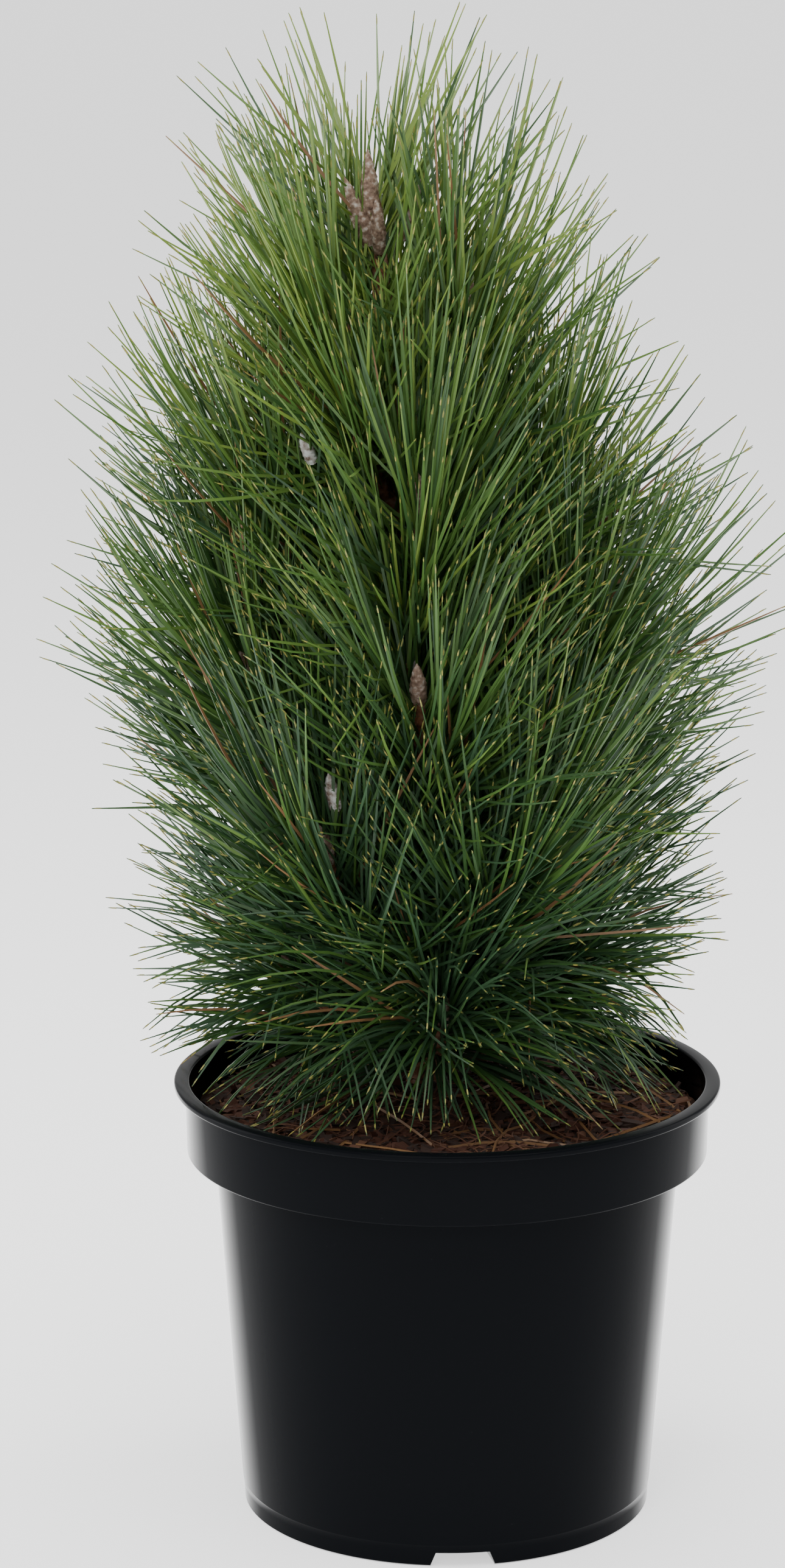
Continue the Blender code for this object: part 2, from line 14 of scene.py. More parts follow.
import bmesh
import bpy
import numpy as np
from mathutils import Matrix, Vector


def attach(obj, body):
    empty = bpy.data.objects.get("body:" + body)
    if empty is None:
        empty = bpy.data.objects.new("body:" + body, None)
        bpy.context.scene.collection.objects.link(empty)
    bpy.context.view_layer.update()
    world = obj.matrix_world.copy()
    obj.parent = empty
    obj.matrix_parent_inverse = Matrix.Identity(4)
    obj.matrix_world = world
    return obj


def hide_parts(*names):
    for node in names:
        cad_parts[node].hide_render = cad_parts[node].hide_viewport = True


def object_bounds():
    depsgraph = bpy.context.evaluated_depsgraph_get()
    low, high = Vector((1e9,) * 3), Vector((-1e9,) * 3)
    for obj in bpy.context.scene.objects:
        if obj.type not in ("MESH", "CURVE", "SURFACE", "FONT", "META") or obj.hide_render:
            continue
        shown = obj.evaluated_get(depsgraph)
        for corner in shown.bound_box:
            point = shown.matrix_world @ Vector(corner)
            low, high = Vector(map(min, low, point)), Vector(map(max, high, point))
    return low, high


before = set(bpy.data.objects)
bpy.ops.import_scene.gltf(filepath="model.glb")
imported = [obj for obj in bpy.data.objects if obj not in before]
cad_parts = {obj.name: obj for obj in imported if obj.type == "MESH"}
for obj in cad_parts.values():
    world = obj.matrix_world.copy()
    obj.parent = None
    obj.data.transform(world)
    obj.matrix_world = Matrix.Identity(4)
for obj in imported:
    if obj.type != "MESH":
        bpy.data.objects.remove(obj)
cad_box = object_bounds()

SEED = 5
random = np.random.default_rng(SEED)
UP = np.array((0.0, 0.0, 1.0))
print("solids:", len(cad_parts), "box:", cad_box)

# %% [markdown]
# The photograph looks down a little on the pot's rim through a long lens. The ellipses of lip, collar
# and foot give the camera: a lens of 106 mm on a sensor 36 mm tall, tilted down by 12.6 degrees. Its
# frame is upright, so the sensor's size counts along the tall side.

# %% Camera
CAMERA_PLACE = (-0.0230, -1.863, 0.728)
CAMERA_DOWN = 12.62
LENS_MM = 105.57
SENSOR_MM = 36.0
lens = bpy.data.cameras.new("camera")
lens.lens = LENS_MM
lens.sensor_width = SENSOR_MM
camera = bpy.data.objects.new("camera", lens)
camera.location = CAMERA_PLACE
camera.rotation_euler = (math.radians(90 - CAMERA_DOWN), 0, 0)
bpy.context.scene.collection.objects.link(camera)
bpy.context.scene.camera = camera
print("camera looks down by", CAMERA_DOWN, "degrees")

# %% [markdown]
# Shader maths could be drawn node by node, but it reads best as plain expressions. A small class wraps
# a socket of a node tree, so that 0.1 + 0.2 * dust adds its own Math nodes. One method adds any
# other node: first its settings or a ramp's stops, then the values or links of its sockets.

# %% Socket wrapper
class Socket:
    """A node's output, on which + and * work as they do on numbers."""

    def __init__(self, tree, link):
        self.tree, self.link = tree, link

    def node(self, kind, settings, values, output=0):
        """A node of a kind, with its settings first and then the values or links of its sockets."""
        made = self.tree.nodes.new(kind)
        for key, value in settings.items():
            if key == "stops":
                for place, _ in value[1:-1]:
                    made.color_ramp.elements.new(place)
                for stop, (place, colour) in zip(made.color_ramp.elements, value):
                    stop.position = place
                    stop.color = (*colour, 1.0)
            else:
                setattr(made, key, value)
        for key, value in values.items():
            if isinstance(value, Socket):
                self.tree.links.new(value.link, made.inputs[key])
            else:
                made.inputs[key].default_value = value
        return Socket(self.tree, made.outputs[output])

    def maths(self, operation, first, second):
        """One Math node on two values, of which one may be a plain number."""
        return self.node("ShaderNodeMath", {"operation": operation}, {0: first, 1: second})

    def __add__(self, other):
        return self.maths("ADD", self, other)

    def __radd__(self, other):
        return self.maths("ADD", other, self)

    def __mul__(self, other):
        return self.maths("MULTIPLY", self, other)

    def __rmul__(self, other):
        return self.maths("MULTIPLY", other, self)

    def ramp(self, *stops):
        """The colour at this value between stops of (place, colour), given in rising order."""
        return self.node("ShaderNodeValToRGB", {"stops": stops}, {0: self})

    def noise(self, scale, detail):
        """Noise from 0 to 1 where this socket holds coordinates. Scale counts waves in a metre."""
        return self.node("ShaderNodeTexNoise", {}, {"Vector": self, "Scale": scale, "Detail": detail})


print("operators:", [name for name in vars(Socket) if name.endswith(("add__", "mul__"))])

# %% [markdown]
# Each finish starts from the Principled shader. What is the same all over is set straight on its
# sockets. What changes over the surface reads object coordinates, which stay fixed to the piece, and
# feeds only the base colour, the roughness, the coat's weight or the bump.

# %% A finish from plain values
def finish(name, colour, roughness, **plain):
    """A material with plain values on its shader's sockets. Returns it with its shader."""
    made = bpy.data.materials.new(name)
    made.use_nodes = True
    shader = made.node_tree.nodes["Principled BSDF"]
    shader.inputs["Base Color"].default_value = (*colour, 1.0)
    shader.inputs["Roughness"].default_value = roughness
    for key, value in plain.items():
        shader.inputs[key.replace("_", " ")].default_value = value
    return made, shader


def coordinates(tree, kind):
    """One kind of texture coordinates in a node tree, wrapped."""
    return Socket(tree, tree.nodes.new("ShaderNodeTexCoord").outputs[kind])


def feed(shader, name, value):
    """Links a wrapped socket to one of the shader's."""
    value.tree.links.new(value.link, shader.inputs[name])


def bump(shader, height, strength, distance):
    """Relief finer than the mesh, which stays in the shading."""
    feed(shader, "Normal", height.node("ShaderNodeBump", {}, {
        "Height": height, "Strength": strength, "Distance": distance}))


print("finish helpers ready")

# %% [markdown]
# Black glossy plastic has hardly any colour. What shows is what it mirrors: next to nothing on its
# front, and bright bands where it is seen at a slant. So the base is near black and the coat is laid
# on only towards a slant, by how far the surface turns away. Dust roughens it in patches and leaves
# pale specks.

# %% Finish of the pot
BLACK = (0.0035, 0.0040, 0.0050)
DUST = (0.030, 0.030, 0.032)
NO_COAT = (0.0, 0.0, 0.0)
FULL_COAT = (0.7, 0.7, 0.7)
plastic, shader = finish("pot_plastic", BLACK, 0.16, Specular_IOR_Level=0.02, Coat_Roughness=0.12)
place = coordinates(plastic.node_tree, "Object")
facing = place.node("ShaderNodeLayerWeight", {}, {"Blend": 0.5}, output=1)
feed(shader, "Coat Weight", facing.ramp((0.66, NO_COAT), (0.92, FULL_COAT)))
feed(shader, "Roughness", 0.10 + 0.16 * place.noise(38.0, 6.0))
feed(shader, "Base Color", place.noise(900.0, 2.0).ramp((0.0, BLACK), (0.74, BLACK), (1.0, DUST)))
bump(shader, place.noise(260.0, 4.0), 0.03, 0.0004)
print("made", plastic.name)

# %% [markdown]
# The mix is moist bark and coir, in random patches from near black to a warm red brown, all of it
# darkened as painted shade from the crown and the pot's wall. Young pine bark is orange brown where it
# is fresh and grey where its scales dry out, and buds are brown under a skin of dried resin that
# bleaches them. All four are one noise sent through a short colour ramp.

# %% Finishes of the mix, the bark and the buds
def mottled(name, colour, roughness, scale, detail, *stops):
    """A finish whose base colour is noise through a ramp. Returns it, its shader and coordinates."""
    made, shader = finish(name, colour, roughness)
    place = coordinates(made.node_tree, "Object")
    feed(shader, "Base Color", place.noise(scale, detail).ramp(*stops))
    return made, shader, place


# The mix's browns are darkened below its own tone as painted shade from the crown and the pot's wall.
mix_dark_shaded, shader, place = mottled("mix_dark_shaded", (0.03, 0.012, 0.007), 0.95, 420.0, 5.0,
                                  (0.25, (0.010, 0.005, 0.003)), (0.8, (0.10, 0.036, 0.017)))
bump(shader, place.noise(700.0, 5.0), 0.6, 0.001)
bark, shader, place = mottled("bark", (0.15, 0.07, 0.035), 0.85, 330.0, 5.0,
                              (0.32, (0.030, 0.014, 0.008)), (0.5, (0.20, 0.075, 0.028)),
                              (0.74, (0.26, 0.20, 0.15)))
bump(shader, place.noise(900.0, 4.0), 0.5, 0.0006)
bud_skin = mottled("bud_skin", (0.24, 0.17, 0.13), 0.7, 500.0, 4.0,
                   (0.3, (0.085, 0.042, 0.026)), (0.52, (0.26, 0.17, 0.12)), (0.75, (0.62, 0.56, 0.50)))[0]
resin = mottled("resin", (0.62, 0.62, 0.60), 0.55, 420.0, 4.0,
                (0.35, (0.16, 0.10, 0.07)), (0.47, (0.42, 0.38, 0.34)), (0.60, (0.66, 0.66, 0.64)))[0]
print("made", mix_dark_shaded.name, bark.name, bud_skin.name, resin.name)

# %% [markdown]
# Chips and needles are too small for a pattern of their own to show, so noise on them would be lost.
# Each takes one plain colour instead: the chips one of three browns, the needles one of five greens,
# light at the top of the plant and dark and bluish low down, or the brown of a dead one. The greens
# are partly the needles' own fresh and older growth, and partly painted sunlight on the top and painted
# shade low down. All tips share one yellow.

# %% Plain finishes of chips and needles
chip_red = finish("chip_red", (0.062, 0.019, 0.008), 0.85)[0]
chip_brown = finish("chip_brown", (0.026, 0.011, 0.006), 0.9)[0]
chip_pale = finish("chip_pale", (0.105, 0.042, 0.020), 0.85)[0]
# Greens from the top of the crown down: the lighter ones carry painted sunlight and the darker, bluish
# ones painted shade, on top of the needles' own fresh and older growth.
NEEDLE_COLOURS = {
    "needles_fresh_sunlit": (0.155, 0.235, 0.038),
    "needles_light_sunlit": (0.098, 0.180, 0.032),
    "needles_mid": (0.056, 0.124, 0.022),
    "needles_deep_shaded": (0.029, 0.076, 0.018),
    "needles_blue_shaded": (0.030, 0.074, 0.030),
    "needles_dead": (0.20, 0.105, 0.045),
}
NEEDLE_ROUGHNESS = 0.42
needle_looks = {name: finish(name, colour, NEEDLE_ROUGHNESS, Specular_IOR_Level=0.45)[0]
                for name, colour in NEEDLE_COLOURS.items()}
tip_yellow = finish("needle_tips", (0.30, 0.27, 0.06), 0.5)[0]
print("needle colours:", len(needle_looks))

# %% [markdown]
# Every new piece is made from whole arrays, points in one block and faces in others, because loops
# over a million corners would take minutes. One helper turns them into an object at the origin that
# rides on the part and stands for the solids it replaces.

# %% Arrays into a piece
SHARP_DEGREES = 50


def piece(name, points, faces, look, slot, replaced=()):
    """A smooth mesh object from points (n, 3) and blocks of faces, each (m, corners)."""
    points = np.asarray(points, dtype=float).reshape(-1, 3)
    corners = np.concatenate([block.ravel() for block in faces]).astype(np.int32)
    sizes = np.concatenate([np.full(len(block), block.shape[1]) for block in faces])
    starts = np.concatenate([[0], np.cumsum(sizes)[:-1]]).astype(np.int32)
    mesh = bpy.data.meshes.new(name)
    mesh.vertices.add(len(points))
    mesh.vertices.foreach_set("co", points.ravel())
    mesh.loops.add(len(corners))
    mesh.loops.foreach_set("vertex_index", corners)
    mesh.polygons.add(len(sizes))
    mesh.polygons.foreach_set("loop_start", starts)
    mesh.update(calc_edges=True)
    mesh.validate()
    mesh.shade_smooth()
    mesh.set_sharp_from_angle(angle=math.radians(SHARP_DEGREES))
    mesh.materials.append(look)
    made = bpy.data.objects.new(name, mesh)
    bpy.context.scene.collection.objects.link(made)
    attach(made, "root")
    if replaced:
        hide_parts(*replaced)
    print(name, "triangles:", int((sizes - 2).sum()))
    return made


def sealed(made, sharp_degrees):
    """Merges the points that meet at a pole, turns all faces outwards and marks the sharp edges."""
    bm = bmesh.new()
    bm.from_mesh(made.data)
    bmesh.ops.remove_doubles(bm, verts=bm.verts, dist=1e-6)
    bmesh.ops.recalc_face_normals(bm, faces=bm.faces)
    bm.to_mesh(made.data)
    bm.free()
    made.data.set_sharp_from_angle(angle=math.radians(sharp_degrees))


print("piece helpers ready")

# %% [markdown]
# Two ways of carrying a profile make nearly everything here. The first is turning, as on a lathe: the
# pot and the bed of mix carry a profile round the upright axis. A Screw modifier would do it too, but
# with the points in one array the notches can be lifted and the mix heaped by a formula.

# %% Turned shapes
def unit(vectors):
    """Vectors divided by their lengths."""
    return vectors / np.linalg.norm(vectors, axis=-1, keepdims=True)


def turned(profile, angles):
    """Profile points (radius, height) carried round: x = r cos a, y = r sin a, z = height."""
    profile = np.array(profile)
    points = np.stack([profile[:, :1] * np.cos(angles), profile[:, :1] * np.sin(angles),
                       np.repeat(profile[:, 1:], len(angles), axis=1)], axis=-1)
    index = np.arange(points.shape[0] * points.shape[1]).reshape(points.shape[:2])
    after = np.roll(index, -1, axis=1)
    walls = np.stack([index[:-1], after[:-1], after[1:], index[1:]], axis=-1).reshape(-1, 4)
    return points, walls


print("turned shapes ready")

# %% [markdown]
# The second way carries a ring along a line: trunk, boughs, twigs, needles, fibres and buds are all
# tubes. A curve with a bevel would make one at a time. Here the rings of thousands of lines are worked
# out at once, and both ends of each tube are closed.

# %% Tubes
def tubes(lines, radii, sides):
    """Tubes round many lines at once: a ring point is its centre plus
    radius * (cos a * side + sin a * other), where side and other are square to the line.
    lines is (n, steps, 3), and radii (n, steps) or (n, steps, sides). Returns points and faces."""
    lines = np.asarray(lines, dtype=float)
    count, steps = lines.shape[:2]
    ways = unit(np.gradient(lines, axis=1))
    reference = unit(np.cross(unit(lines[:, -1] - lines[:, 0]), random.normal(size=(count, 3))))
    side = unit(np.cross(ways, reference[:, None]))
    other = np.cross(ways, side)
    angles = math.tau * np.arange(sides) / sides
    around = np.cos(angles)[:, None] * side[:, :, None] + np.sin(angles)[:, None] * other[:, :, None]
    if radii.ndim == 2:
        radii = radii[..., None]
    points = lines[:, :, None] + radii[..., None] * around
    index = np.arange(count * steps * sides).reshape(count, steps, sides)
    after = np.roll(index, -1, axis=2)
    walls = np.stack([index[:, :-1], after[:, :-1], after[:, 1:], index[:, 1:]], axis=-1)
    caps = np.concatenate([index[:, 0, ::-1], index[:, -1]])
    return points.reshape(-1, 3), [walls.reshape(-1, 4), caps]


def joined(groups):
    """Several tubes in one: each one's faces are moved past the points before it."""
    points, walls, caps = [], [], []
    offset = 0
    for block, (wall, cap) in groups:
        points.append(block)
        walls.append(wall + offset)
        caps.append(cap + offset)
        offset += len(block)
    return np.concatenate(points), [np.concatenate(walls), np.concatenate(caps)]


print("tubes ready")

# %% [markdown]
# A nursery pot is thin plastic, round all the way, with soft edges. It could be a cylinder that is
# extruded and bevelled, but a profile worked out from its radii and heights keeps every size exact.
# It runs from the middle of the underside, out round the foot, up the wall, over the rolled lip and
# down inside to the floor. Small arcs on the lip and the collar catch the thin lines of light.

# %% Profile of the pot
RIM_RADIUS, RIM_HEIGHT, WALL = 0.115, 0.185, 0.002
COLLAR_RADIUS, COLLAR_TAPER, COLLAR_FOOT, COLLAR_ROUND_UP = 0.1104, 0.0008, 0.154, 0.0008
SHOULDER_RADIUS, SHOULDER_DROP, SHOULDER_CURVE = 0.098, 0.0020, 0.0026
FOOT_RADIUS, FLOOR_THICK = 0.0867, 0.009
NOTCH_TALL, NOTCH_DEEP = 0.006, 0.030
LIP_TALL, LIP_ROUND = 0.0028, 0.0009
BAND_HEIGHT, BAND_STEP = 0.0092, 0.0004
EDGE_ROUND, INNER_ROUND, HAIR = 0.0003, 0.0010, 0.0002


def rounded(middle, radius, first, last):
    """Five points of an arc about its middle, from one angle in degrees to another."""
    arc = np.radians(np.linspace(first, last, 5))
    return [(middle[0] + radius * math.cos(turn), middle[1] + radius * math.sin(turn)) for turn in arc]


collar_low = COLLAR_RADIUS - COLLAR_TAPER
pot_profile = [
    (0.0, 0.0), (FOOT_RADIUS - NOTCH_DEEP - HAIR, 0.0), (FOOT_RADIUS - NOTCH_DEEP, 0.0),
    (FOOT_RADIUS - 3 * BAND_STEP, 0.0), (FOOT_RADIUS - BAND_STEP, 2 * EDGE_ROUND),
    (FOOT_RADIUS - HAIR, NOTCH_TALL), (FOOT_RADIUS, BAND_HEIGHT - BAND_STEP),
    (FOOT_RADIUS + EDGE_ROUND, BAND_HEIGHT), (FOOT_RADIUS + BAND_STEP, BAND_HEIGHT + BAND_STEP),
    (SHOULDER_RADIUS - EDGE_ROUND, COLLAR_FOOT - SHOULDER_CURVE),
    (SHOULDER_RADIUS + EDGE_ROUND, COLLAR_FOOT - SHOULDER_DROP),
    (collar_low - 4 * EDGE_ROUND, COLLAR_FOOT - EDGE_ROUND),
    *rounded((collar_low - INNER_ROUND, COLLAR_FOOT + COLLAR_ROUND_UP), INNER_ROUND, -80, 0),
    (COLLAR_RADIUS - HAIR, RIM_HEIGHT - LIP_TALL - 2 * EDGE_ROUND),
    (COLLAR_RADIUS + 2 * EDGE_ROUND, RIM_HEIGHT - LIP_TALL),
    *rounded((RIM_RADIUS - LIP_ROUND, RIM_HEIGHT - LIP_TALL + LIP_ROUND), LIP_ROUND, -90, 0),
    *rounded((RIM_RADIUS - LIP_ROUND, RIM_HEIGHT - LIP_ROUND), LIP_ROUND, 0, 90),
    *rounded((COLLAR_RADIUS - WALL + INNER_ROUND, RIM_HEIGHT - INNER_ROUND), INNER_ROUND, 90, 180),
    (collar_low - WALL, COLLAR_FOOT + SHOULDER_CURVE), (SHOULDER_RADIUS - WALL, COLLAR_FOOT),
    (FOOT_RADIUS - WALL, FLOOR_THICK), (0.0, FLOOR_THICK)]
print("profile points:", len(pot_profile))

# %% [markdown]
# Three wide notches drain the pot's foot. A Boolean could cut them, but here it is enough to place
# columns of the turned grid exactly at each notch's slanted edges, and to lift the lowest points
# between them to the notch's roof.

# %% Pot with its notches
POT_COLUMNS = 160
NOTCH_TURNS = np.radians((-86, 34, 154))
NOTCH_EDGES = np.array((-0.0135, -0.01125, 0.01125, 0.0135))
NOTCH_LIFTED = 0.0120
COLUMN_CLEAR = 0.012
NOTCH_ROWS = slice(2, 5)
ROOF_STEPS = 0.00005 * np.array((3, 2, 1))


def turn_between(angles, others):
    """The least turn from each angle to any of the others, all in radians."""
    apart = (angles[:, None] - others + math.pi) % math.tau - math.pi
    return np.abs(apart).min(axis=1)


pot_turns = np.linspace(0, math.tau, POT_COLUMNS, endpoint=False)
for middle in NOTCH_TURNS:
    edges = NOTCH_EDGES / FOOT_RADIUS + middle
    clear = turn_between(pot_turns, edges) > COLUMN_CLEAR
    pot_turns = np.sort(np.concatenate([pot_turns[clear], edges % math.tau]))
pot_points, pot_walls = turned(pot_profile, pot_turns)
lifted = turn_between(pot_turns, NOTCH_TURNS) < NOTCH_LIFTED / FOOT_RADIUS
pot_points[NOTCH_ROWS, lifted, 2] = NOTCH_TALL - ROOF_STEPS[:, None]
pot = piece("nursery_pot", pot_points, [pot_walls], plastic, "pot_plastic", ["pot"])
sealed(pot, sharp_degrees=40)

# %% [markdown]
# The mix is heaped a little towards the middle, with one dark hollow in front. A grid could be
# displaced by a texture, but the needles and chips need its height as well, so it is a formula. The
# bed is that height over rings and columns, roughened by a sum of sine waves with random directions
# and lengths, and closed by a flat underside inside the pot.

# %% Bed of the mix
MIX_EDGE_HEIGHT, MIX_HEAP, MIX_GAP = 0.169, 0.0085, 0.0004
HOLLOW_PLACE, HOLLOW_RADIUS, HOLLOW_DEEP = np.array((0.046, -0.040)), 0.020, 0.009
MIX_REACH = COLLAR_RADIUS - COLLAR_TAPER - WALL - MIX_GAP
MIX_UNDER, MIX_UNDER_RADIUS, MIX_SUNK = 0.150, 0.094, 0.0006
MIX_RINGS, MIX_COLUMNS, MIX_SMOOTH_MIDDLE = 60, 180, 0.001
WAVES, WAVE_MOST, WAVE_SHIFT = 14, 900, 6
WAVE_LOW, WAVE_HIGH = 0.0001, 0.0003


def soil_height(x, y):
    """Edge height plus a heap that falls with the square of the distance, less a round hollow."""
    from_axis = np.hypot(x, y) / (COLLAR_RADIUS - WALL)
    from_hollow = np.hypot(x - HOLLOW_PLACE[0], y - HOLLOW_PLACE[1]) / HOLLOW_RADIUS
    heap = MIX_HEAP * np.maximum(0, 1 - from_axis**2)
    return MIX_EDGE_HEIGHT + heap - HOLLOW_DEEP * np.exp(-from_hollow**2)


def waves(x, y):
    """The sum of d * sin(a x + b y + c), with a, b, c and d drawn for each wave."""
    a = random.uniform(-WAVE_MOST, WAVE_MOST, WAVES)
    b = random.uniform(-WAVE_MOST, WAVE_MOST, WAVES)
    c = random.uniform(0, WAVE_SHIFT, WAVES)
    d = random.uniform(WAVE_LOW, WAVE_HIGH, WAVES)
    return (np.sin(x[..., None] * a + y[..., None] * b + c) * d).sum(axis=-1)


rings = [(radius, 1.0) for radius in MIX_REACH * np.linspace(1, 0, MIX_RINGS)]
columns = np.linspace(0, math.tau, MIX_COLUMNS, endpoint=False)
mix_points, mix_walls = turned([(0.0, MIX_UNDER), (MIX_UNDER_RADIUS, MIX_UNDER), *rings], columns)
top_x, top_y = mix_points[2:, :, 0], mix_points[2:, :, 1]
off_pole = np.hypot(top_x, top_y) > MIX_SMOOTH_MIDDLE
mix_points[2:, :, 2] = soil_height(top_x, top_y) - MIX_SUNK + waves(top_x, top_y) * off_pole
bed = piece("bark_mix", mix_points, [mix_walls], mix_dark_shaded, "bark_chips", ["soil"])
sealed(bed, SHARP_DEGREES)

# %% [markdown]
# What the eye knows as potting mix is loose bark. A chip is a thin block whose corners are pushed
# about, turned any way and tipped a little. Copies of one chip could be scattered by a particle
# system, but as one array of corners each chip has a shape of its own, and still only six faces.
# Three plain browns keep them apart.

# %% Chips of bark
CUBE = np.array([(a, b, c) for a in (-1, 1) for b in (-1, 1) for c in (-1, 1)], dtype=float) / 2
CUBE_FACES = np.array(
    [(0, 1, 3, 2), (4, 6, 7, 5), (0, 4, 5, 1), (2, 3, 7, 6), (0, 2, 6, 4), (1, 5, 7, 3)])
CHIP_LONG, CHIP_WIDE, CHIP_THICK = (0.003, 0.011), (0.0015, 0.0045), (0.0006, 0.0020)
CHIP_PUSH, CHIP_TILT, CHIP_LIFT = 0.22, 0.30, (-0.0002, 0.0012)
CHIP_CLEAR = 0.006


def scatter(count, reach):
    """Places spread evenly over a disc: the distance goes with the root of an even draw."""
    away = reach * np.sqrt(random.uniform(0, 1, count))
    turn = random.uniform(0, math.tau, count)
    return away * np.cos(turn), away * np.sin(turn)


def chips(count):
    """Corner = place + turned(tipped(size * (cube corner + push)))."""
    x, y = scatter(count, MIX_REACH - CHIP_CLEAR)
    size = np.stack([random.uniform(*span, count) for span in (CHIP_LONG, CHIP_WIDE, CHIP_THICK)], axis=1)
    corners = size[:, None] * (CUBE + random.uniform(-CHIP_PUSH, CHIP_PUSH, (count, 8, 3)))
    turn, tilt = random.uniform(0, math.tau, count)[:, None], random.normal(0, CHIP_TILT, count)[:, None]
    along = corners[..., 0] * np.cos(tilt) - corners[..., 2] * np.sin(tilt)
    height = corners[..., 0] * np.sin(tilt) + corners[..., 2] * np.cos(tilt)
    across = corners[..., 1]
    placed = np.stack([along * np.cos(turn) - across * np.sin(turn),
                       along * np.sin(turn) + across * np.cos(turn), height], axis=-1)
    ground = soil_height(x, y) + random.uniform(*CHIP_LIFT, count)
    placed += np.stack([x, y, ground], axis=1)[:, None]
    faces = (CUBE_FACES + 8 * np.arange(count)[:, None, None]).reshape(-1, 4)
    return placed, [faces]


for name, count, look in (("chips_red", 1500, chip_red), ("chips_brown", 1700, chip_brown),
                          ("chips_pale", 260, chip_pale)):
    piece(name, *chips(count), look, "bark_chips")

# %% [markdown]
# Coir fibres lie between the chips, thin as hair and bowed. They could be drawn by hand as curves,
# but five hundred of them are quicker by rule. Each is a line that follows the height of the mix,
# with a small rise and fall, made a tube of three sides. The same rule lays dropped needles later.

# %% Fibres
LYING_STEPS, SWAY_TURN = 6, 4
LYING_CLEAR, LYING_EDGE = 0.016, 0.004
LYING_LIFT, LYING_SWAY = (0.0010, 0.0024), 0.0015
FIBRES, FIBRE_LONG, FIBRE_BOW, FIBRE_RADIUS = 520, (0.008, 0.026), 0.22, (0.00018, 0.00042)


def lying(count, long, wave):
    """Bent lines on the mix: a straight run, bowed sideways by wave * length * cos(pi s), squeezed
    inside the pot and lifted off the soil's height by a small sway."""
    x, y = scatter(count, MIX_REACH - LYING_CLEAR)
    turn, run = random.uniform(0, math.tau, count)[:, None], random.uniform(*long, count)[:, None]
    share = np.linspace(-0.5, 0.5, LYING_STEPS)
    bow = wave * random.normal(0, 1, count)[:, None] * np.cos(math.pi * share) * run
    px = x[:, None] + np.cos(turn) * share * run - np.sin(turn) * bow
    py = y[:, None] + np.sin(turn) * share * run + np.cos(turn) * bow
    squeeze = np.minimum(1, (MIX_REACH - LYING_EDGE) / np.hypot(px, py).max(axis=1, keepdims=True))
    px, py = px * squeeze, py * squeeze
    lift = random.uniform(*LYING_LIFT, count)[:, None] + LYING_SWAY * np.sin(SWAY_TURN * share + turn)
    return np.stack([px, py, soil_height(px, py) + lift], axis=-1)


fibres = lying(FIBRES, FIBRE_LONG, FIBRE_BOW)
fibre_radii = random.uniform(*FIBRE_RADIUS, (FIBRES, 1)) * np.ones(LYING_STEPS)
piece("fibres", *tubes(fibres, fibre_radii, 3), chip_pale, "bark_chips")

# %% [markdown]
# A pine grows in whorls: boughs leave a leaning trunk low and sweep upwards, and a leader stands above
# them. Each could be drawn as a curve, but a rule places all of them at once. Heights, reaches and
# lines of trunk and boughs are those of the solids. How the needles stand is set anew: how far they
# lean from the shoot in degrees, whether they rise or droop, how unruly they are, and how many pairs
# a bough and a side twig carry.

# %% Growth rule of trunk and boughs
TRUNK_FOOT, TRUNK_LEAN, LEAN_POWER = np.array((-0.009, 0.016)), np.array((-0.024, -0.016)), 1.8
TRUNK_CUT, TRUNK_TIP, LEADER_TIP = 0.1772, 0.478, 0.573
ARM_OUTWARD, ARM_RISE, ARM_SPIRAL, ARM_POINTS = 0.72, 0.30, 0.009, 25
Tier = namedtuple("Tier", "name boughs first height reach tip_height bend long wide unruly pairs few")
TIERS = (
    Tier("low", 4, -82, 0.193, 0.055, 0.228, -2.2, 0.92, 73.6, 2.4, 145, 36),
    Tier("lower", 5, 236, 0.218, 0.070, 0.300, 0.7, 1.0, 67.2, 1.0, 145, 36),
    Tier("middle", 5, 200, 0.280, 0.072, 0.366, 0.8, 1.0, 64.0, 1.0, 145, 36),
    Tier("upper", 4, 188, 0.350, 0.056, 0.440, 0.8, 1.0, 64.0, 1.0, 112, 28),
    Tier("high", 3, 230, 0.425, 0.036, 0.508, 0.8, 1.0, 64.0, 1.0, 70, 16),
)


def level_way(azimuth):
    """The level unit vector at an azimuth in radians."""
    return np.array((math.cos(azimuth), math.sin(azimuth), 0.0))


def trunk_axis(height):
    """The trunk's middle: foot + lean * share ** power, at one height or many."""
    height = np.asarray(height, dtype=float)
    share = np.maximum(0, (height - TRUNK_CUT) / (LEADER_TIP - TRUNK_CUT)) ** LEAN_POWER
    return np.concatenate([TRUNK_FOOT + share[..., None] * TRUNK_LEAN, height[..., None]], axis=-1)


def arm_line(tier, turn):
    """A bough and its stem: (1-s)^2 start + 2 s (1-s) bend + s^2 tip, for shares s from 0 to 1."""
    way = level_way(math.radians(tier.first) + math.tau * turn / tier.boughs)
    spiral = ARM_SPIRAL * ((2 * turn) % tier.boughs / tier.boughs - 0.5)
    start = trunk_axis(tier.height + spiral)
    tip = trunk_axis(tier.tip_height + spiral) + tier.reach * way
    bend = start + ARM_OUTWARD * tier.reach * way + ARM_RISE * (tip[2] - start[2]) * UP
    s = np.linspace(0, 1, ARM_POINTS)[:, None]
    return (1 - s) ** 2 * start + 2 * s * (1 - s) * bend + s**2 * tip


arms = [(tier, arm_line(tier, turn)) for tier in TIERS for turn in range(tier.boughs)]
print("arms:", len(arms))

# %% [markdown]
# Bark on young wood breaks into small scales. Bump alone would leave the outline smooth, so the mesh
# itself gets the relief. A displacement by a texture would stretch on a thin limb. Random values on a
# coarse net that fits round it, blended between its knots and sharpened, push the surface in and out
# evenly.

# %% Relief of bark
EDGE_SHARPNESS = 2.5


